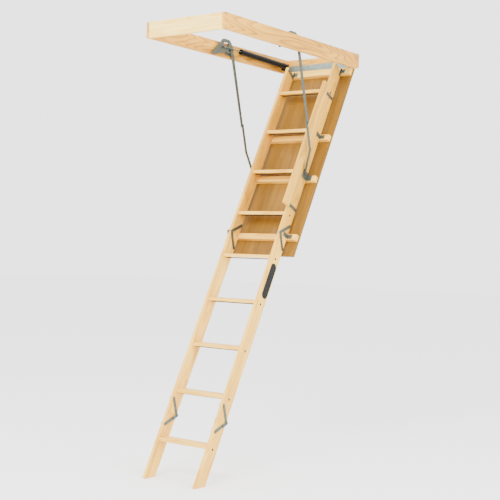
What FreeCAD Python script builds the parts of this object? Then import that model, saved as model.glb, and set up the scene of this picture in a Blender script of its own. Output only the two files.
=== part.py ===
# Folding wooden attic ladder in its ceiling frame, shown pulled down and unfolded.
#
# Axes: X across the hatch, Y along it towards the hinge end, Z up. The origin is the centre
# of the hatch at the ceiling plane, which is the underside of the frame. Millimetres.
#
# The door and the ladder on it lean at `slope` below the ceiling. Their pieces are placed in
# door coordinates: s runs down the door from the hinge pin, n stands off its upper face.

import FreeCAD, Part
import os
import re

doc = FreeCAD.newDocument("AtticLadder")
spec = doc.addObject("Spreadsheet::Sheet", "Spec")

SIZES = [
    ("frame_width", 568, "outside width of the hatch frame"),
    ("frame_length", 1400, "outside length of the hatch frame"),
    ("frame_height", 91, "height of the frame boards"),
    ("board", 19, "thickness of the frame boards"),
    ("slope", 63, "angle of the open door below the ceiling, degrees"),
    ("hinge_gap", 5, "hinge pin axis to the inner face of the header"),
    ("hinge_length", 504, "length of the door hinge along its pin"),
    ("hinge_knuckles", 9, "knuckles along the door hinge"),
    ("knuckle_gap", 0.5, "gap between neighbouring knuckles"),
    ("knuckle_radius", 4, "outer radius of a knuckle"),
    ("pin_radius", 2, "radius of the hinge pin"),
    ("pin_play", 0.2, "radial play of the hinge pin"),
    ("leaf_height", 50, "height of the hinge leaf on the header"),
    ("leaf", 1.5, "thickness of the hinge leaves"),
    ("panel_width", 536, "width of the door panel"),
    ("panel_length", 1368, "length of the door panel"),
    ("panel_start", 5, "hinge pin axis to the near edge of the panel"),
    ("panel_thick", 5, "thickness of the door panel"),
    ("panel_gap", 0.6, "gap between the shut panel and the frame"),
    ("batten_side_gap", 7, "end of a batten to the side board"),
    ("batten_depth", 26, "front face of the battens above the hinge plane"),
    ("batten_width", 38, "width of battens 2 to 4 along the door"),
    ("batten_top_start", 8, "start of the top batten from the hinge pin"),
    ("batten_top_width", 48, "width of the top batten along the door"),
    ("batten_2", 540, "middle of batten 2 from the hinge pin"),
    ("batten_3", 841, "middle of batten 3 from the hinge pin"),
    ("batten_4", 1253, "middle of batten 4 from the hinge pin"),
    ("ladder_width", 388, "outside width of the ladder"),
    ("rail_thick", 20, "thickness of the ladder rails"),
    ("rail_depth", 80, "depth of the ladder rails"),
    ("rail_top_front", 28, "top end of the rails at their front edge"),
    ("rail_top_rear", 50, "top end of the rails at their rear edge"),
    ("joint_1", 1265, "upper folding joint from the hinge pin"),
    ("joint_2", 2448, "lower folding joint from the hinge pin"),
    ("joint_gap", 0.8, "gap between rail ends at a folding joint"),
    ("joint_proud", 0.6, "folding pivot clear of the edge of the rail"),
    ("floor_drop", 2500, "floor below the ceiling plane"),
    ("tread_first", 153, "top of the first tread below the ceiling plane"),
    ("tread_rise", 266, "rise from tread to tread"),
    ("tread_thick", 19, "thickness of the treads"),
    ("tread_inset", 1, "tread edge inside the edge of the rail"),
    ("tread_housing", 6, "depth of a tread end in its rail"),
    ("rod_radius", 3, "radius of the tie rods"),
    ("rod_drop", 5, "tie rod axis below the underside of its tread"),
    ("nut_radius", 6.5, "radius of the tie rod nuts"),
    ("nut_sink", 5, "depth of the counterbore for a tie rod nut"),
    ("hand_start", 222, "top end of the handrail from the hinge pin"),
    ("hand_end", 1102, "bottom end of the handrail from the hinge pin"),
    ("hand_front", 184, "front edge of the handrail above the hinge plane"),
    ("hand_width", 50, "width of the handrail"),
    ("hand_thick", 19, "thickness of the handrail"),
    ("hand_strap_inset", 36, "middle of a handrail strap from the handrail end"),
    ("strap_width", 18, "width of the steel straps"),
    ("strap", 3, "thickness of the steel straps"),
    ("strap_reach_s", 79, "far end of a joint strap from its pivot, along the rail"),
    ("strap_bend", 24, "start of the joggle of a joint strap from its pivot"),
    ("angle_foot", 34, "foot of a rail bracket along its batten"),
    ("angle_width", 26, "width of a rail bracket"),
    ("crank_y", 28, "crank pivot along the hatch"),
    ("crank_z", 48, "crank pivot above the ceiling plane"),
    ("arm_top_y", 59, "top of the straight run of the arm along the hatch"),
    ("arm_top_z", 24, "top of the straight run of the arm above the ceiling plane"),
    ("bar_width", 18, "width of the arm bars"),
    ("bar_thick", 5, "thickness of the arm bars"),
    ("crank_side_gap", 12, "crank to the inner face of the side board"),
    ("arm_gap", 1, "gap between the two bars of an arm at the elbow"),
    ("elbow_share", 0.725, "share of the arm above the elbow"),
    ("bend_s", 710, "bend of the lower arm bar from the hinge pin"),
    ("bend_n", 144, "bend of the lower arm bar above the hinge plane"),
    ("arm_end_s", 822, "lower end of the arm from the hinge pin"),
    ("arm_end_n", 64, "lower end of the arm above the hinge plane"),
    ("arm_stand", 3.5, "lower arm bar clear of its bracket on the rail"),
    ("arm_flat", 9, "flat foot of the lower arm bar beyond its pivot"),
    ("loop_y", -24, "free end centre of the crank loop along the hatch"),
    ("loop_z", 72, "centres of the crank loop above the ceiling plane"),
    ("loop_length", 32, "distance between the two centres of the crank loop"),
    ("loop_radius", 42, "outer radius of the crank loop"),
    ("horn_y", -140, "tip of the crank horn along the hatch"),
    ("horn_z", 6, "tip of the crank horn above the ceiling plane"),
    ("window_radius", 16, "radius of the window in the crank loop"),
    ("tube_radius", 17, "radius of the spring cover"),
    ("tube_bore", 13, "inner radius of the spring cover"),
    ("tube_start", 132, "free end of the spring cover along the hatch"),
    ("anchor_back", 62, "anchored end of the spring cover from the frame end"),
    ("anchor_z", 42, "spring anchor above the ceiling plane"),
    ("hook_y", -37, "spring hook along the hatch"),
    ("hook_z", 61, "spring hook above the ceiling plane"),
    ("label_start", 190, "top of the label from the upper folding joint"),
    ("label_length", 228, "length of the label"),
    ("label_width", 54, "width of the label"),
    ("label_thick", 1.5, "thickness of the label"),
    ("nail_radius", 2.5, "radius of the heads of the frame nails"),
    ("nail_head", 0.8, "height of the heads of the frame nails"),
    ("screw_radius", 3.5, "radius of the screw heads"),
    ("screw_head", 1.5, "height of the screw heads"),
]

for row, (alias, value, note) in enumerate(SIZES, start=1):
    spec.set("A%d" % row, alias)
    spec.set("B%d" % row, str(value))
    spec.setAlias("B%d" % row, alias)
    spec.set("C%d" % row, note)
doc.recompute()

WORDS = re.compile(r"\b(%s)\b" % "|".join(sorted((s[0] for s in SIZES), key=len, reverse=True)))
X_AXIS = FreeCAD.Vector(1, 0, 0)
ACROSS = FreeCAD.Rotation(FreeCAD.Vector(0, 1, 0), 90)
ALONG = FreeCAD.Rotation(FreeCAD.Vector(1, 0, 0), -90)
SIDES = (("left", -1), ("right", 1))
nodes = []


def bind(thing, **sizes):
    """Bind properties to formulas in the names of the sheet."""
    for name, formula in sizes.items():
        thing.setExpression(name.replace("__", "."), WORDS.sub(r"Spec.\1", str(formula)))
    return thing


def put(thing, x, y, z):
    """Place a primitive's own origin."""
    return bind(thing, Placement__Base__x=x, Placement__Base__y=y, Placement__Base__z=z)


def block(x, y, z, dx, dy, dz):
    """A box from its low corner."""
    thing = doc.addObject("Part::Box", "Block")
    bind(thing, Length=dx, Width=dy, Height=dz)
    return put(thing, x, y, z)


def pin_x(x, y, z, length, radius):
    """A cylinder along X."""
    thing = doc.addObject("Part::Cylinder", "Round")
    thing.Placement.Rotation = ACROSS
    bind(thing, Radius=radius, Height=length)
    return put(thing, x, y, z)


def pin_y(x, y, z, length, radius):
    """A cylinder along Y."""
    thing = doc.addObject("Part::Cylinder", "Round")
    thing.Placement.Rotation = ALONG
    bind(thing, Radius=radius, Height=length)
    return put(thing, x, y, z)


def bar(x, dx, start, end, width, end_width=None):
    """A flat bar upright in a YZ plane from start to end, each a (y, z) pair of formulas."""
    dy = "((%s) - (%s))" % (end[0], start[0])
    dz = "((%s) - (%s))" % (end[1], start[1])
    length = "sqrt(%s^2 + %s^2)" % (dy, dz)
    thing = doc.addObject("Part::Wedge", "Bar")
    thing.Placement.Rotation = FreeCAD.Rotation(X_AXIS, 10)
    tip = end_width or width
    bind(thing, Xmin=0, X2min=0, Xmax=dx, X2max=dx, Ymin=0, Ymax=length,
         Zmin="-(%s)/2" % width, Zmax="(%s)/2" % width,
         Z2min="-(%s)/2" % tip, Z2max="(%s)/2" % tip,
         Placement__Rotation__Angle="atan2(%s; %s)" % (dz, dy))
    return put(thing, x, start[0], start[1])


def hinge_y():
    return "(frame_length/2 - board - hinge_gap)"


def door(s, n):
    """The (y, z) formulas of a point given down the door and off its face."""
    return ("%s - (%s)*cos(slope) - (%s)*sin(slope)" % (hinge_y(), s, n),
            "(%s)*cos(slope) - (%s)*sin(slope)" % (n, s))


def slab(x, dx, s, ds, n, dn):
    """A box square to the door: across it, down it from s, and off its face from n."""
    thing = doc.addObject("Part::Box", "Slab")
    thing.Placement.Rotation = FreeCAD.Rotation(X_AXIS, 10)
    bind(thing, Length=dx, Width=ds, Height=dn, Placement__Rotation__Angle="slope")
    return put(thing, x, *door("(%s) + (%s)" % (s, ds), n))


def level(n, z):
    """The y formula of the point at height z on the plane n of the door."""
    return "%s + (%s)/tan(slope) - (%s)/sin(slope)" % (hinge_y(), z, n)


def fuse(parts):
    if len(parts) == 1:
        return parts[0]
    thing = doc.addObject("Part::MultiFuse", "Joined")
    thing.Shapes = parts
    return thing


def cut(base, tools):
    thing = doc.addObject("Part::Cut", "Trimmed")
    thing.Base = base
    thing.Tool = fuse(tools)
    return thing


def group(parts):
    thing = doc.addObject("Part::Compound", "Group")
    thing.Links = parts
    return thing


def node(name, thing):
    """Name a finished sub-part."""
    thing.Label = name
    nodes.append(thing)
    return thing


def outward(side, near, size):
    """The low X formula of a piece that starts `near` from the middle and grows outward."""
    return near if side > 0 else "-((%s) + (%s))" % (near, size)


# ---- hatch frame: long boards run through, the end boards stand between them ----
def nail_heads(side, radius):
    return [pin_x(outward(side, "frame_width/2 - nail_head", "nail_head"),
                  "%d*(frame_length/2 - board/2)" % end, "frame_height*%g" % share,
                  "nail_head", radius) for end in (-1, 1) for share in (0.2, 0.5, 0.8)]


nails = []
for name, side in SIDES:
    plank = block(outward(side, "frame_width/2 - board", "board"), "-frame_length/2", 0,
                  "board", "frame_length", "frame_height")
    node("frame_side_" + name, cut(plank, nail_heads(side, "nail_radius + 0.1")))
    nails += nail_heads(side, "nail_radius")
INSIDE = "(frame_width - 2*board)"
node("frame_end", block("-%s/2" % INSIDE, "-frame_length/2", 0, INSIDE, "board", "frame_height"))
node("frame_header", block(
    "-%s/2" % INSIDE, "frame_length/2 - board", 0, INSIDE, "board", "frame_height"))
node("frame_nails", group(nails))

# ---- door hinge: a leaf on the header, a leaf on the top batten, one long pin ----
PITCH = "(hinge_length/hinge_knuckles)"
PIN = door(0, 0)


def knuckles(first):
    return [pin_x("-hinge_length/2 + %d*%s + knuckle_gap/2" % (k, PITCH), PIN[0], PIN[1],
                  "%s - knuckle_gap" % PITCH, "knuckle_radius") for k in range(first, 9, 2)]


def knuckle_room(first):
    """Room in a leaf for the other leaf's knuckles."""
    return [pin_x("-hinge_length/2 + %d*%s - knuckle_gap/2" % (k, PITCH), PIN[0], PIN[1],
                  "%s + knuckle_gap" % PITCH, "knuckle_radius + 0.5") for k in range(first, 9, 2)]


def hinge_leaf(name, plates, first):
    trimmed = cut(fuse(plates), knuckle_room(1 - first))
    bore = pin_x("-hinge_length/2 - 1", PIN[0], PIN[1], "hinge_length + 2",
                 "pin_radius + pin_play")
    node(name, cut(fuse([trimmed] + knuckles(first)), [bore]))


hinge_leaf("hinge_leaf_frame", [block(
    "-hinge_length/2", "frame_length/2 - board - leaf", 0, "hinge_length", "leaf",
    "leaf_height")], 0)
hinge_leaf("hinge_leaf_door", [
    slab("-hinge_length/2", "hinge_length", "batten_top_start - leaf", "leaf",
         "0.5", "batten_depth - 2"),
    slab("-hinge_length/2", "hinge_length", "pin_radius + 1", "batten_top_start - pin_radius - 1",
         "0.5", "leaf")], 1)
node("hinge_pin", pin_x("-hinge_length/2", PIN[0], PIN[1], "hinge_length", "pin_radius"))
node("hinge_screws", group([pin_y(
    "-hinge_length/2 + hinge_length*%g" % ((k + 0.5)/6), "frame_length/2 - board - leaf - 1",
    "leaf_height*0.62", 1, "screw_radius") for k in range(6)]))

# ---- door panel and its four battens ----
node("door_panel", slab("-panel_width/2", "panel_width", "panel_start", "panel_length",
                        "-panel_gap - panel_thick", "panel_thick"))
BATTEN = "(frame_width - 2*board - 2*batten_side_gap)"
BATTENS = (("batten_top_start", "batten_top_width"),
           ("batten_2 - batten_width/2", "batten_width"),
           ("batten_3 - batten_width/2", "batten_width"),
           ("batten_4 - batten_width/2", "batten_width"))
for k, (start, width) in enumerate(BATTENS, start=1):
    node("batten_%d" % k, slab("-%s/2" % BATTEN, BATTEN, start, width,
                               "-panel_gap", "batten_depth + panel_gap"))

# ---- ladder sections ----
FRONT = "(batten_depth + rail_depth)"
STRAP_N = "(rail_depth - 8)"
ANGLE_LEG = "(rail_depth*0.55)"
MIDDLE_N = "(batten_depth + rail_depth/2)"
SECTIONS = (("upper", "0", "joint_1 - joint_gap/2", (1, 2, 3, 4)),
            ("middle", "joint_1 + joint_gap/2", "joint_2 - joint_gap/2", (5, 6, 7, 8)),
            ("lower", "joint_2 + joint_gap/2", "floor_drop/sin(slope) + rail_depth", (9,)))


def tread_top(k):
    return "(-tread_first - %d*tread_rise)" % (k - 1)


def rod_height(k):
    return "(%s - tread_thick - rod_drop)" % tread_top(k)


TREAD_FRONT = "(%s - tread_inset)" % FRONT
TREAD_REAR = "(batten_depth + tread_inset)"
TREAD_DEPTH = "((%s - %s)/sin(slope) - tread_thick/tan(slope))" % (TREAD_FRONT, TREAD_REAR)


def tread_block(k, x, dx):
    z = tread_top(k)
    return block(x, level(TREAD_FRONT, z), z + " - tread_thick", dx, TREAD_DEPTH, "tread_thick")


RAIL_INSIDE = "(ladder_width/2 - rail_thick)"
for section, start, end, treads in SECTIONS:
    for name, side in SIDES:
        x = outward(side, RAIL_INSIDE, "rail_thick")
        blank = slab(x, "rail_thick", start, "(%s) - (%s)" % (end, start),
                     "batten_depth", "rail_depth")
        tools = []
        if section == "upper":
            front = door("rail_top_front", FRONT)
            rear = door("rail_top_rear", "batten_depth")
            lean = "atan2(rail_top_rear - rail_top_front; rail_depth)/1deg"
            top = doc.addObject("Part::Box", "Slab")
            top.Placement.Rotation = FreeCAD.Rotation(X_AXIS, 10)
            bind(top, Length="rail_thick + 2", Width="rail_top_rear + 60", Height="rail_depth*3",
                 Placement__Rotation__Angle="slope - " + lean)
            put(top, x + " - 1",
                "%s - rail_depth*cos(90 + slope - %s)" % (rear[0], lean),
                "%s - rail_depth*sin(90 + slope - %s)" % (rear[1], lean))
            tools.append(top)
        if section == "lower":
            tools.append(block(x + " - 1", "-frame_length*2", "-floor_drop - 400",
                               "rail_thick + 2", "frame_length*3", "400"))
        for k in treads:
            tools.append(tread_block(k, outward(side, RAIL_INSIDE + " - 1", "tread_housing + 1"),
                                     "tread_housing + 1"))
            y = level(MIDDLE_N, rod_height(k))
            tools.append(pin_x(x + " - 1", y, rod_height(k), "rail_thick + 2",
                               "rod_radius + 0.3"))
            tools.append(pin_x(outward(side, "ladder_width/2 - nut_sink", "nut_sink + 1"),
                               y, rod_height(k), "nut_sink + 1", "nut_radius + 1"))
        node("rail_%s_%s" % (section, name), cut(blank, tools))
    for k in treads:
        node("tread_%d" % k, tread_block(
            k, "-%s - tread_housing" % RAIL_INSIDE, "2*%s + 2*tread_housing" % RAIL_INSIDE))
    rods = []
    nuts = []
    for k in treads:
        y = level(MIDDLE_N, rod_height(k))
        rods.append(pin_x("-ladder_width/2 + 2", y, rod_height(k), "ladder_width - 4",
                          "rod_radius"))
        for side in (-1, 1):
            x = outward(side, "ladder_width/2 - nut_sink", "nut_sink - 1")
            nuts.append(cut(pin_x(x, y, rod_height(k), "nut_sink - 1", "nut_radius"),
                            [pin_x(x + " - 1", y, rod_height(k), "nut_sink + 1", "rod_radius")]))
    node("tie_rods_" + section, group(rods))
    node("tie_nuts_" + section, group(nuts))

# ---- folding joints: a strap on each face of each rail, riveted at the pivot ----
FACES = (("ladder_width/2", 1), ("ladder_width/2 - rail_thick", -1))


def layer(side, face, way, step):
    """The low X formula of strap layer `step` on a face of a rail."""
    return outward(side, "%s + %d*strap" % (face, step) if way > 0
                   else "%s - %d*strap" % (face, step + 1), "strap")


def joint_straps(pivot, towards, down, first):
    """Four equal straps: `first` ones lie flat, the others joggle over them at the pivot."""
    straps = []
    start = door(*pivot)
    far = door("%s + %d*strap_reach_s" % (pivot[0], down),
               "%s + %d*%s" % (pivot[1], towards, STRAP_N))
    reach = "sqrt(strap_reach_s^2 + %s^2)" % STRAP_N

    def part_way(distance):
        return door("%s + %d*strap_reach_s*(%s)/%s" % (pivot[0], down, distance, reach),
                    "%s + %d*%s*(%s)/%s" % (pivot[1], towards, STRAP_N, distance, reach))

    for side in (-1, 1):
        for face, way in FACES:
            flat = layer(side, face, way, 0)
            over = layer(side, face, way, 1)
            tail = pin_x(flat, far[0], far[1], "strap", "strap_width/2")
            if first:
                pieces = [bar(flat, "strap", start, far, "strap_width"), tail,
                          pin_x(flat, start[0], start[1], "strap", "strap_width/2")]
            else:
                pieces = [bar(flat, "strap", part_way("strap_bend"), far, "strap_width"), tail,
                          bar(over, "strap", start, part_way("strap_bend + 14"), "strap_width"),
                          pin_x(over, start[0], start[1], "strap", "strap_width/2")]
            hole = pin_x(layer(side, face, way, 0) + " - strap", start[0], start[1],
                         "3*strap", "3.2")
            straps.append(cut(fuse(pieces), [hole]))
    return straps


def joint_rivets(pivot):
    rivets = []
    y, z = door(*pivot)
    for side in (-1, 1):
        for face, way in FACES:
            near = face if way > 0 else face + " - 2*strap - 2"
            shank = pin_x(outward(side, near, "2*strap + 2"), y, z, "2*strap + 2", "3")
            head = pin_x(outward(side, face + " + 2*strap" if way > 0 else near, "2"),
                         y, z, "2", "5.5")
            rivets.append(fuse([shank, head]))
    return rivets


PIVOT_1 = ("joint_1", "%s + joint_proud" % FRONT)
PIVOT_2 = ("joint_2", "batten_depth - joint_proud")
node("joint_1_straps_upper", group(joint_straps(PIVOT_1, -1, -1, True)))
node("joint_1_straps_lower", group(joint_straps(PIVOT_1, -1, 1, False)))
node("joint_1_rivets", group(joint_rivets(PIVOT_1)))
node("joint_2_straps_upper", group(joint_straps(PIVOT_2, 1, -1, True)))
node("joint_2_straps_lower", group(joint_straps(PIVOT_2, 1, 1, False)))
node("joint_2_rivets", group(joint_rivets(PIVOT_2)))

# ---- brackets between rails and battens ----
brackets = []
screws = []


def flat_screw(side, s, n):
    y, z = door(s, n)
    return pin_x(outward(side, "ladder_width/2 + strap", "screw_head"), y, z, "screw_head",
                 "screw_radius")


for side in (-1, 1):
    for middle in ("batten_2", "batten_4"):
        s = "%s - angle_width/2" % middle
        brackets.append(fuse([
            slab(outward(side, "ladder_width/2", "strap"), "strap", s, "angle_width",
                 "batten_depth", ANGLE_LEG),
            slab(outward(side, "ladder_width/2", "angle_foot"), "angle_foot", s, "angle_width",
                 "batten_depth", "strap")]))
        screws.append(flat_screw(side, middle, "batten_depth + %s - 9" % ANGLE_LEG))
        screws.append(flat_screw(side, middle, "batten_depth + %s - 26" % ANGLE_LEG))
node("rail_brackets", group(brackets))
node("bracket_screws", group(screws))

tops = []
for side in (-1, 1):
    x = outward(side, "%s - strap" % RAIL_INSIDE, "strap")
    tops.append(fuse([
        bar(x, "strap", door("rail_top_rear + 10", "batten_depth + 12"),
            door("rail_top_front + 16", "%s - 8" % FRONT), "strap_width"),
        slab(outward(side, "%s - 26" % RAIL_INSIDE, "26"), "26",
             "batten_top_start + 14", "30", "batten_depth", "strap"),
        slab(x, "strap", "batten_top_start + 14", "50", "batten_depth", "14")]))
    tops.append(fuse([
        slab(outward(side, "ladder_width/2", "strap"), "strap", "batten_top_start + 14", "56",
             "batten_depth", "18"),
        slab(outward(side, "ladder_width/2", "26"), "26", "batten_top_start + 14", "30",
             "batten_depth", "strap"),
        slab(outward(side, "ladder_width/2 + 10", "10"), "10", "batten_top_start + 24", "10",
             "batten_depth", "strap + 6")]))
node("rail_top_brackets", group(tops))

# ---- handrail on two straps outside the right rail ----
HAND_X = "(ladder_width/2 + 2*strap)"
node("handrail", slab(HAND_X, "hand_thick", "hand_start", "hand_end - hand_start",
                      "hand_front - hand_width", "hand_width"))
hand_straps = []
hand_bolts = []
for s in ("(hand_start + hand_strap_inset)", "(hand_end - hand_strap_inset + 8)"):
    hand_straps.append(fuse([
        slab("ladder_width/2 + strap", "strap", s + " - strap_width/2", "strap_width",
             "batten_depth + 4", "hand_front - batten_depth - 14"),
        pin_x("ladder_width/2", *door(s, "batten_depth + 16"), "strap", "7"),
        pin_x("ladder_width/2", *door(s, "%s - 16" % FRONT), "strap", "7")]))
    for n in ("batten_depth + 16", "%s - 16" % FRONT):
        hand_bolts.append(pin_x("ladder_width/2 + 2*strap", *door(s, n), "2.5", "5"))
node("handrail_straps", group(hand_straps))
node("handrail_bolts", group(hand_bolts))

# ---- blank label on the right middle rail ----
label_n = "%s - 7" % MIDDLE_N
label_s = "joint_1 + label_start"
node("label", fuse([
    slab("ladder_width/2", "label_thick", label_s + " + label_width/2",
         "label_length - label_width", "%s - label_width/2" % label_n, "label_width"),
    pin_x("ladder_width/2", *door(label_s + " + label_width/2", label_n), "label_thick",
          "label_width/2"),
    pin_x("ladder_width/2", *door(label_s + " + label_length - label_width/2", label_n),
          "label_thick", "label_width/2")]))

# ---- folding arms, one each side: crank on the frame, lower bar on the ladder ----
BEND = door("bend_s", "bend_n")
END = door("arm_end_s", "arm_end_n")
PIVOT = ("crank_y", "crank_z")
ARM_TOP = ("arm_top_y", "arm_top_z")
HORN = ("horn_y", "horn_z")
ELBOW = tuple("(%s) + elbow_share*((%s) - (%s))" % (a, b, a) for a, b in zip(ARM_TOP, BEND))
STEM = tuple("(%s) - 0.09*((%s) - (%s))" % (a, b, a) for a, b in zip(ARM_TOP, BEND))
CRANK_X = "(frame_width/2 - board - crank_side_gap - bar_thick)"
LOWER_X = "(%s - arm_gap - bar_thick)" % CRANK_X
END_X = "(ladder_width/2 + strap + arm_stand)"

crank_mounts = []
crank_nuts = []
arm_brackets = []
arm_nuts = []
for name, side in SIDES:
    x = outward(side, CRANK_X, "bar_thick")
    plate = fuse([
        pin_x(x, "loop_y", "loop_z", "bar_thick", "loop_radius"),
        pin_x(x, "loop_y + loop_length", "loop_z", "bar_thick", "loop_radius"),
        block(x, "loop_y", "loop_z - loop_radius", "bar_thick", "loop_length",
              "2*loop_radius"),
        bar(x, "bar_thick", ("loop_y - 12", "loop_z - 9"), HORN, "76", "16"),
        pin_x(x, HORN[0], HORN[1], "bar_thick", "8"),
        pin_x(x, PIVOT[0], PIVOT[1], "bar_thick", "17"),
        bar(x, "bar_thick", STEM, ELBOW, "bar_width + 8", "bar_width"),
        pin_x(x, ELBOW[0], ELBOW[1], "bar_thick", "11"),
        pin_x(outward(side, CRANK_X + " + bar_thick", "3"), ELBOW[0], ELBOW[1], "3", "7")])
    window = [
        pin_x(x + " - 1", "loop_y + 2", "loop_z + 4", "bar_thick + 2", "window_radius"),
        pin_x(x + " - 1", "loop_y + 26", "loop_z + 4", "bar_thick + 2", "window_radius"),
        block(x + " - 1", "loop_y + 2", "loop_z + 4 - window_radius", "bar_thick + 2", "24",
              "2*window_radius"),
        pin_x(x + " - 1", PIVOT[0], PIVOT[1], "bar_thick + 2", "5.3")]
    node("crank_" + name, cut(plate, window))

    crank_mounts.append(fuse([
        block(outward(side, "frame_width/2 - board - strap", "strap"), "crank_y - 26",
              "crank_z - 30", "strap", "52", "52"),
        pin_x(outward(side, CRANK_X + " + bar_thick + 0.5", "crank_side_gap - strap - 0.5"),
              PIVOT[0], PIVOT[1], "crank_side_gap - strap - 0.5", "12"),
        pin_x(outward(side, CRANK_X + " - 0.5", "bar_thick + 1"), PIVOT[0], PIVOT[1],
              "bar_thick + 1", "5")]))
    crank_nuts.append(pin_x(outward(side, CRANK_X + " - 3.5", "3"), PIVOT[0], PIVOT[1],
                            "3", "9"))

    # lower bar: flat beside the crank, bent at the knee, then leaning in to the rail
    low = outward(side, LOWER_X, "bar_thick")
    foot = outward(side, END_X, "bar_thick")
    reach = "sqrt(((%s) - (%s))^2 + ((%s) - (%s))^2)" % (END[0], BEND[0], END[1], BEND[1])
    run = "(%s - arm_flat)" % reach
    step_in = "(%s - %s)" % (LOWER_X, END_X)
    flat_end = tuple("(%s) + (arm_flat + 2)/%s*((%s) - (%s))" % (b, reach, a, b)
                     for a, b in zip(BEND, END))
    leaning = doc.addObject("Part::Box", "Lean")
    leaning.Placement.Rotation = FreeCAD.Rotation(FreeCAD.Vector(0, 0, 1), 10)
    bind(leaning, Length="bar_thick", Height="bar_width",
         Width="sqrt(%s^2 + %s^2)" % (run, step_in),
         Placement__Rotation__Angle="%d*atan2(%s; %s)" % (side, step_in, run))
    put(leaning, "%d*(%s + bar_thick/2) - bar_thick/2" % (side, LOWER_X), 0, "-bar_width/2")
    turned = group([leaning])
    turned.Placement.Rotation = FreeCAD.Rotation(X_AXIS, 10)
    bind(turned, Placement__Rotation__Angle="atan2((%s) - (%s); (%s) - (%s))" % (
        END[1], BEND[1], END[0], BEND[0]))
    put(turned, 0, BEND[0], BEND[1])
    shape = fuse([
        bar(low, "bar_thick", ELBOW, BEND, "bar_width"),
        pin_x(low, ELBOW[0], ELBOW[1], "bar_thick", "11"),
        pin_x(outward(side, LOWER_X + " - 3", "3"), ELBOW[0], ELBOW[1], "3", "7"),
        pin_x(low, BEND[0], BEND[1], "bar_thick", "bar_width/2 + 0.4"),
        turned,
        bar(foot, "bar_thick", flat_end, END, "bar_width"),
        pin_x(foot, END[0], END[1], "bar_thick", "11")])
    node("lower_bar_" + name, cut(shape, [
        pin_x(foot + " - 4", END[0], END[1], "bar_thick + 8", "5.3")]))

    arm_brackets.append(fuse([
        slab(outward(side, "ladder_width/2", "strap"), "strap", "arm_end_s - 16",
             "batten_3 + batten_width/2 - arm_end_s + 16", "batten_depth",
             "arm_end_n - batten_depth + 16"),
        slab(outward(side, "ladder_width/2", "angle_foot + 4"), "angle_foot + 4",
             "batten_3 - batten_width/2", "batten_width", "batten_depth", "strap"),
        pin_x(outward(side, "ladder_width/2", "strap + arm_stand - 0.5"), END[0], END[1],
              "strap + arm_stand - 0.5", "9"),
        pin_x(outward(side, "ladder_width/2", "strap + arm_stand + bar_thick + 0.5"),
              END[0], END[1], "strap + arm_stand + bar_thick + 0.5", "5")]))
    arm_nuts.append(pin_x(outward(side, END_X + " + bar_thick + 0.5", "3"), END[0], END[1],
                          "3", "7"))
node("crank_mounts", group(crank_mounts))
node("crank_nuts", group(crank_nuts))
node("arm_brackets", group(arm_brackets))
node("arm_nuts", group(arm_nuts))

# ---- springs under covers on the inside of the side boards ----
ANCHOR = ("(frame_length/2 - anchor_back)", "anchor_z")
HOOK = ("hook_y", "hook_z")
SPAN = ("(%s - hook_y)" % ANCHOR[0], "(anchor_z - hook_z)")
COVER_X = "(frame_width/2 - board - tube_radius - 6)"
ROD_X = "(%s - 5)" % COVER_X


def on_line(y):
    """The z formula of the spring's axis at y."""
    return "hook_z + ((%s) - hook_y)*%s/%s" % (y, SPAN[1], SPAN[0])


def round_bar(x, start_y, end_y, radius):
    """A cylinder along the spring's axis, between two places along the hatch."""
    thing = doc.addObject("Part::Cylinder", "Round")
    thing.Placement.Rotation = ALONG
    bind(thing, Radius=radius,
         Height="((%s) - (%s))*sqrt(1 + (%s/%s)^2)" % (end_y, start_y, SPAN[1], SPAN[0]),
         Placement__Rotation__Angle="atan2(%s; %s)/1deg - 90" % SPAN[::-1])
    return put(thing, x, start_y, on_line(start_y))


spring_covers = []
spring_anchors = []
for name, side in SIDES:
    cover_x = "%d*%s" % (side, COVER_X)
    rod_x = "%d*%s" % (side, ROD_X)
    spring_covers.append(cut(
        round_bar(cover_x, "tube_start", ANCHOR[0], "tube_radius"),
        [round_bar(cover_x, "tube_start - 5", ANCHOR[0] + " - 12", "tube_bore")]))
    rod = round_bar(rod_x, "hook_y", "tube_start + 170", "rod_radius")
    eye = pin_x("%s - rod_radius - 0.5" % rod_x, HOOK[0], HOOK[1], "2*rod_radius + 1", "9")
    node("spring_rod_" + name, fuse([rod, eye]))
    spring_anchors.append(fuse([
        block(outward(side, "frame_width/2 - board - strap", "strap"),
              ANCHOR[0] + " - 26", "anchor_z - 26", "strap", "42", "52"),
        block(outward(side, COVER_X + " - tube_radius", "2*tube_radius + 5"),
              ANCHOR[0] + " + 1", "anchor_z - 16", "2*tube_radius + 5", "strap", "32")]))
node("spring_covers", group(spring_covers))
node("spring_anchors", group(spring_anchors))

doc.recompute()

faults = [thing.Name for thing in doc.Objects
          if "Invalid" in thing.State or "Error" in thing.State]
for thing in nodes:
    if thing.Shape.isNull() or not thing.Shape.isValid():
        faults.append(thing.Label)
if faults:
    raise RuntimeError("not built: " + ", ".join(faults))

os.makedirs("parts", exist_ok=True)
for thing in nodes:
    thing.Shape.exportStep("parts/%s.step" % thing.Label)
    print("%-24s solids %d  volume %.0f" % (
        thing.Label, len(thing.Shape.Solids), thing.Shape.Volume))
print(len(nodes), "nodes")
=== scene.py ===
# %% [markdown]
# # A folding wooden attic ladder
# The ladder hangs in a pine frame in the ceiling. A plywood door swings down on a long steel
# hinge, and the ladder unfolds from it in three sections. This lesson starts from the measured
# model, which already holds every board and bracket at its real size and place, and gives it
# its pine, plywood, zinc-coated steel and black plastic, a pale floor and a soft light.

# %% Load the measured model
import math

import bpy
from mathutils import Matrix, Vector


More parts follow.
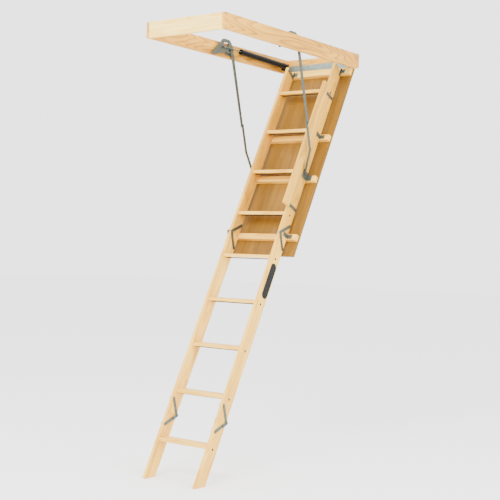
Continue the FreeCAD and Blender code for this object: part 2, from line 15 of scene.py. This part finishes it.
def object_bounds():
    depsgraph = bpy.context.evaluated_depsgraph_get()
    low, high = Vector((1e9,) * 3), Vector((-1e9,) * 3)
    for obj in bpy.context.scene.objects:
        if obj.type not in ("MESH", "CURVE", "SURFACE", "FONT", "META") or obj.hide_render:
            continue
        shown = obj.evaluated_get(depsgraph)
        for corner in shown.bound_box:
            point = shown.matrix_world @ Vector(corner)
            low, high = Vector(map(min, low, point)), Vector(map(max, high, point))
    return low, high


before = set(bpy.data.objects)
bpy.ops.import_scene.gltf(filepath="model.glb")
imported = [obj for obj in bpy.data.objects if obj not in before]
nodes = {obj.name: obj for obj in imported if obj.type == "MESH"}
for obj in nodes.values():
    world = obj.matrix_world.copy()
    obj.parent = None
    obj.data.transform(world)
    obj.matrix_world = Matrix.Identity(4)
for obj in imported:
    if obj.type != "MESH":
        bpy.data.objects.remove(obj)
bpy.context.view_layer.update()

# %% [markdown]
# ## Node helpers
# Every material below is a small tree of shader nodes. These helpers add one node, one colour
# ramp or one colour mix at a time, so that the recipes read like a list of ingredients.


# %% Helpers that add nodes
def new_material(name):
    material = bpy.data.materials.new(name)
    material.use_nodes = True
    tree = material.node_tree
    return material, tree, tree.nodes["Principled BSDF"]


def add(tree, kind, **settings):
    """Add a node; a setting is one of its own or, failing that, one of its inputs."""
    node = tree.nodes.new(kind)
    for key, value in settings.items():
        if hasattr(node, key):
            setattr(node, key, value)
        else:
            node.inputs[key.replace("_", " ").title()].default_value = value
    return node


def ramp(tree, source, stops):
    """A colour ramp fed from a socket, with (place, colour) stops."""
    node = tree.nodes.new("ShaderNodeValToRGB")
    first, last = node.color_ramp.elements
    first.position, first.color = stops[0][0], (*stops[0][1], 1)
    last.position, last.color = stops[-1][0], (*stops[-1][1], 1)
    for place, colour in stops[1:-1]:
        node.color_ramp.elements.new(place).color = (*colour, 1)
    tree.links.new(source, node.inputs["Fac"])
    return node.outputs[0]


def mix(tree, way, factor, a, b):
    """Mix two colours; a factor or colour may be a number, a colour or a socket."""
    node = tree.nodes.new("ShaderNodeMix")
    node.data_type = "RGBA"
    node.blend_type = way
    for socket, value in ((node.inputs[0], factor), (node.inputs[6], a), (node.inputs[7], b)):
        if isinstance(value, bpy.types.NodeSocket):
            tree.links.new(value, socket)
        elif isinstance(value, (int, float)):
            socket.default_value = value
        else:
            socket.default_value = (*value, 1)
    return node.outputs[2]


def stretch(tree, source, scale):
    """The coordinates of a socket, scaled along each axis."""
    node = add(tree, "ShaderNodeMapping", vector_type="POINT")
    node.inputs["Scale"].default_value = scale
    tree.links.new(source, node.inputs["Vector"])
    return node.outputs[0]


def spread(tree, source, low, high):
    """A 0 to 1 socket brought to the range low to high."""
    node = add(tree, "ShaderNodeMapRange")
    node.inputs["To Min"].default_value = low
    node.inputs["To Max"].default_value = high
    tree.links.new(source, node.inputs["Value"])
    return node.outputs[0]


def raise_grain(tree, shader, source, strength, distance):
    """Let a socket lift and lower the surface a little."""
    node = add(tree, "ShaderNodeBump")
    node.inputs["Strength"].default_value = strength
    node.inputs["Distance"].default_value = distance
    tree.links.new(source, node.inputs["Height"])
    tree.links.new(node.outputs[0], shader.inputs["Normal"])


print("helpers ready")

# %% [markdown]
# ## Wood
# Planed pine is cream where it grew fast in spring and orange where the summer wood lies. A
# flat-sawn board shows wide, wandering bands near its middle and close straight lines near its
# edges. The bands are contour lines: noise stretched a long way along the board is multiplied
# and only its fraction is kept. Finer noise, stretched further, draws the pores. Knots are
# round spots with a darker rim, spaced well apart. A board that leans with the door turns its
# pattern to lean with it.


# %% The wood recipe
def wood(name, cream, gold, amber, turn=(0, 0, 0), shift=(0, 0, 0), bands=16.0, depth=0.6,
         knots=0.0, roughness=0.5):
    """Wood whose grain runs along local Y after the turn."""
    material, tree, shader = new_material(name)
    link = tree.links.new
    coords = add(tree, "ShaderNodeTexCoord")
    turned = add(tree, "ShaderNodeMapping", vector_type="POINT")
    turned.inputs["Rotation"].default_value = turn
    turned.inputs["Location"].default_value = shift
    link(coords.outputs["Object"], turned.inputs["Vector"])
    board = turned.outputs[0]

    wander = add(tree, "ShaderNodeTexNoise", Scale=1.0, Detail=2.0, Roughness=0.45)
    link(stretch(tree, board, (7.0, 0.75, 7.0)), wander.inputs["Vector"])
    rings = add(tree, "ShaderNodeMath", operation="MULTIPLY")
    rings.inputs[1].default_value = bands
    link(wander.outputs["Fac"], rings.inputs[0])
    saw = add(tree, "ShaderNodeMath", operation="FRACT")
    link(rings.outputs[0], saw.inputs[0])
    grown = ramp(tree, saw.outputs[0], ((0.0, cream), (0.45, cream), (0.88, gold), (0.94, gold),
                                        (1.0, cream)))
    blotch = add(tree, "ShaderNodeTexNoise", Scale=1.0, Detail=3.0, Roughness=0.55)
    link(stretch(tree, board, (16.0, 1.6, 16.0)), blotch.inputs["Vector"])
    base = ramp(tree, blotch.outputs["Fac"], ((0.36, cream), (0.54, gold), (0.68, amber)))
    colour = mix(tree, "MIX", depth, base, grown)

    pores = add(tree, "ShaderNodeTexNoise", Scale=1.0, Detail=4.0, Roughness=0.62)
    link(stretch(tree, board, (430, 7, 430)), pores.inputs["Vector"])
    lines = ramp(tree, pores.outputs["Fac"], ((0.32, (0.84, 0.76, 0.64)), (0.58, (1, 1, 1))))
    colour = mix(tree, "MULTIPLY", 0.55, colour, lines)
    if knots:
        cells = add(tree, "ShaderNodeTexVoronoi", feature="F1", Scale=1.0, Randomness=1.0)
        link(stretch(tree, board, (8.0, 3.0, 8.0)), cells.inputs["Vector"])
        heart = ramp(tree, cells.outputs["Distance"], (
            (0.0, (knots, knots, knots)), (0.07, (knots*0.6, knots*0.6, knots*0.6)),
            (0.11, (knots, knots, knots)), (0.17, (0, 0, 0))))
        colour = mix(tree, "MIX", heart, colour, (0.34, 0.15, 0.045))
    link(colour, shader.inputs["Base Color"])
    link(spread(tree, pores.outputs["Fac"], roughness - 0.08, roughness + 0.12),
         shader.inputs["Roughness"])
    raise_grain(tree, shader, pores.outputs["Fac"], 0.14, 0.0006)
    shader.inputs["IOR"].default_value = 1.45
    shader.inputs["Specular IOR Level"].default_value = 0.3
    return material


print("wood recipe ready")

# %% [markdown]
# ## Steel and plastic
# The fittings are pressed steel with a dull zinc coat. It is grey with a green tint, mottled
# where the coat took unevenly. The long hinge has a bluer, brighter coat. The spring covers
# are black plastic tube, painted darker still with the shade they hang in, and the label is a
# plain black plate with a satin face.


# %% Steel and plastic recipes
def coated(name, light, dark, roughness, metal, patches, scuffs):
    """A smooth coat: patches mottle its colour, scuffs its gloss and its surface."""
    material, tree, shader = new_material(name)
    link = tree.links.new
    coords = add(tree, "ShaderNodeTexCoord")
    mottle = add(tree, "ShaderNodeTexNoise", Scale=patches, Detail=4.0, Roughness=0.6)
    link(coords.outputs["Object"], mottle.inputs["Vector"])
    link(ramp(tree, mottle.outputs["Fac"], ((0.34, dark), (0.66, light))),
         shader.inputs["Base Color"])
    marks = add(tree, "ShaderNodeTexNoise", Scale=scuffs, Detail=3.0, Roughness=0.7)
    link(coords.outputs["Object"], marks.inputs["Vector"])
    link(spread(tree, marks.outputs["Fac"], roughness - 0.1, roughness + 0.14),
         shader.inputs["Roughness"])
    raise_grain(tree, shader, marks.outputs["Fac"], 0.12, 0.0004)
    shader.inputs["Metallic"].default_value = metal
    shader.inputs["Specular IOR Level"].default_value = 0.12
    return material


def zinc(name, light, dark, roughness=0.42):
    return coated(name, light, dark, roughness, 0.7, 95.0, 420.0)


def plastic(name, light, dark, roughness):
    return coated(name, light, dark, roughness, 0.0, 60.0, 900.0)


print("steel and plastic recipes ready")

# %% [markdown]
# ## A finish for every piece
# The ladder's rails and treads are selected pine, even and cream, with more honey in the upper
# rails and the handrail. The hatch frame is rougher pine, more orange, with a few knots. The
# door is plywood with a broad, quiet, golden face grain. No two boards share the same stretch
# of log.

# %% Finishes by piece
SLOPE = math.radians(63)
LENGTHWAYS = (0, 0, 0)
CROSSWAYS = (0, 0, math.radians(90))
DOWN_DOOR = (-SLOPE, 0, 0)
CREAM = ((0.94, 0.59, 0.10), (0.74, 0.37, 0.03), (0.50, 0.21, 0.012))
HONEY = ((0.80, 0.44, 0.05), (0.58, 0.285, 0.018), (0.36, 0.155, 0.008))
TAN = ((0.80, 0.40, 0.04), (0.42, 0.18, 0.010), (0.26, 0.10, 0.005))
PALE = ((0.98, 0.72, 0.20), (0.92, 0.56, 0.10), (0.76, 0.36, 0.05))
PLY = ((0.24, 0.115, 0.008), (0.165, 0.076, 0.005), (0.11, 0.048, 0.003))


def log_place(node):
    """A different stretch of the log for every board."""
    number = sum((k + 3)*ord(letter) for k, letter in enumerate(node))
    return (number % 17*0.173, number % 29*0.61, number % 13*0.237)


finishes = {}
for node in nodes:
    if node.startswith("rail_") and node.split("_")[1] in ("upper", "middle", "lower"):
        tones = HONEY if "upper" in node else CREAM
        finishes[node] = wood("pine_" + node, *tones, turn=DOWN_DOOR, shift=log_place(node))
    elif node.startswith(("tread_", "batten_")):
        finishes[node] = wood("pine_" + node, *CREAM, turn=CROSSWAYS, shift=log_place(node))
    elif node.startswith("frame_side"):
        finishes[node] = wood("pine_" + node, *TAN, turn=LENGTHWAYS, shift=log_place(node),
                              bands=20.0, knots=0.7)
finishes["handrail"] = wood("pine_handrail", *HONEY, turn=DOWN_DOOR, shift=(0.3, 1.2, 0.7))
finishes["frame_end"] = wood("pine_frame_end", *PALE, turn=CROSSWAYS, shift=(0.2, 0.9, 0.4))
finishes["frame_header"] = wood("pine_frame_header", *TAN, turn=CROSSWAYS,
                                shift=(0.5, 0.3, 0.8), knots=0.4)
finishes["door_panel"] = wood("door_ply", *PLY, turn=DOWN_DOOR, shift=(0.7, 0.2, 0.1),
                              bands=9.0, depth=0.35, knots=0.25)
steel = zinc("zinc_steel", (0.14, 0.155, 0.125), (0.085, 0.095, 0.078))
arm_steel = zinc("arm_steel", (0.12, 0.13, 0.098), (0.072, 0.08, 0.062))
hinge_steel = zinc("hinge_steel", (0.32, 0.38, 0.33), (0.20, 0.25, 0.225), 0.36)
dark_steel = zinc("dark_steel", (0.045, 0.045, 0.04), (0.02, 0.02, 0.02), 0.5)
# The spring covers are black plastic with painted shade: their colour is darker than the
# plastic, standing for the shade they hang in.
black_tube_and_painted_shade = plastic("black_tube_and_painted_shade", (0.007, 0.007, 0.007), (0.003, 0.003, 0.003), 0.5)
black_label = plastic("black_label", (0.010, 0.010, 0.010), (0.004, 0.004, 0.005), 0.35)
for node in nodes:
    if node in finishes:
        continue
    if node.startswith(("crank_left", "crank_right", "lower_bar")):
        finishes[node] = arm_steel
    elif node.startswith("hinge"):
        finishes[node] = hinge_steel
    elif node == "spring_covers":
        finishes[node] = black_tube_and_painted_shade
    elif node == "label":
        finishes[node] = black_label
    elif node in ("spring_anchors", "crank_nuts") or node.startswith(("tie_", "frame_nails")):
        finishes[node] = dark_steel
    else:
        finishes[node] = steel
for node, thing in nodes.items():
    thing.data.materials.clear()
    thing.data.materials.append(finishes[node])
print(len(set(finishes.values())), "finishes on", len(nodes), "pieces")

# %% [markdown]
# ## Stage
# A plain pale floor runs under the feet and the light is soft and even from all sides, with a
# large lamp over the camera's shoulder so that the front edges of the boards are the palest.

# %% Floor and light
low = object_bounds()[0]
bpy.ops.object.select_all(action="DESELECT")
bpy.ops.mesh.primitive_plane_add(size=60, location=(0, 0, low[2] - 0.001))
floor = bpy.context.object
floor.name = "floor"
floor_look, _, floor_shader = new_material("floor_paint")
floor_shader.inputs["Base Color"].default_value = (0.95, 0.95, 0.95, 1)
floor_shader.inputs["Roughness"].default_value = 0.9
floor.data.materials.append(floor_look)

world = bpy.data.worlds.new("soft_room")
world.use_nodes = True
world.node_tree.nodes["Background"].inputs["Color"].default_value = (1, 1, 1, 1)
world.node_tree.nodes["Background"].inputs["Strength"].default_value = 3.0
bpy.context.scene.world = world


def lamp(name, place, target, size, power):
    bpy.ops.object.light_add(type="AREA", location=place)
    thing = bpy.context.object
    thing.name = name
    thing.data.size = size
    thing.data.energy = power
    thing.rotation_euler = (Vector(target) - Vector(place)).to_track_quat("-Z", "Y").to_euler()
    return thing


lamp("key_light", (1.2, -5.0, 2.4), (0, 0, -1.1), 2.6, 520)
lamp("side_light", (5.0, -0.6, 0.6), (0, 0, -1.0), 2.4, 160)
print("floor at", round(low[2], 3), "and two lamps")

# %% [markdown]
# ## Camera
# The camera stands in front of the ladder and to its right, half way up its height. It looks
# level along a line turned 37 degrees, with the picture tipped two degrees, through a long lens.

# %% Camera
YAW, PITCH, ROLL = math.radians(36.79), math.radians(-0.01), math.radians(1.85)
CAMERA_PLACE = Vector((3.8865, -5.2240, -1.1922))
SENSOR_MM = 36
LENS_MM = 77.11128
ahead = Vector((-math.sin(YAW)*math.cos(PITCH), math.cos(YAW)*math.cos(PITCH), -math.sin(PITCH)))
right = Vector((math.cos(YAW), math.sin(YAW), 0))
up = right.cross(ahead)
across = right*math.cos(ROLL) + up*math.sin(ROLL)
upright = up*math.cos(ROLL) - right*math.sin(ROLL)
bpy.ops.object.camera_add()
camera = bpy.context.object
camera.name = "camera"
pose = Matrix((across, upright, -ahead)).transposed().to_4x4()
pose.translation = CAMERA_PLACE
camera.matrix_world = pose
camera.data.sensor_width = SENSOR_MM
camera.data.lens = LENS_MM
camera.data.clip_end = 100
bpy.context.scene.camera = camera
print("camera at", [round(value, 2) for value in pose.translation])
